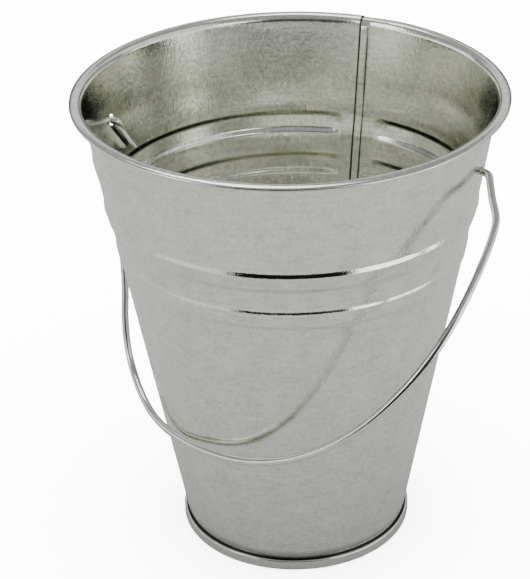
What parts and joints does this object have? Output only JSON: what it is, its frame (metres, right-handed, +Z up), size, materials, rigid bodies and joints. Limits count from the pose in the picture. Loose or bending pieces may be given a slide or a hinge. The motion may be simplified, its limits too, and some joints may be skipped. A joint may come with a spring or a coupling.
{
  "type": "florist bucket",
  "caption": "Tapered galvanised sheet-steel bucket with pressed rings, a wired rolled rim, a folded side seam, a seamed base and a swinging wire handle.",
  "frame": {"origin": "centre of the foot, on the ground", "axes": "+Z up; the handle's pivot holes lie along X, the side seam is at the back on +Y, and the handle hangs at the front on -Y"},
  "size_m": [0.1672, 0.16, 0.1805],
  "materials": {
    "galvanised_sheet": "bright galvanised, satin, with faint rolling lines",
    "galvanised_wire": "bright drawn galvanised wire",
    "sealing_compound": "matt"
  },
  "bodies": {
    "bucket": {"side_wall": "galvanised_sheet", "rim_wire": "galvanised_wire", "base_pan": "galvanised_sheet", "base_seam_seal": "sealing_compound", "side_seam_seal": "sealing_compound"},
    "handle": {"bail": "galvanised_wire"}
  },
  "joints": [
    {"name": "handle_swing", "type": "hinge", "parent": "bucket", "child": "handle", "pos_m": [0, 0, 0.159], "axis": [-1, 0, 0], "range_deg": [0, 299.2]}
  ]
}
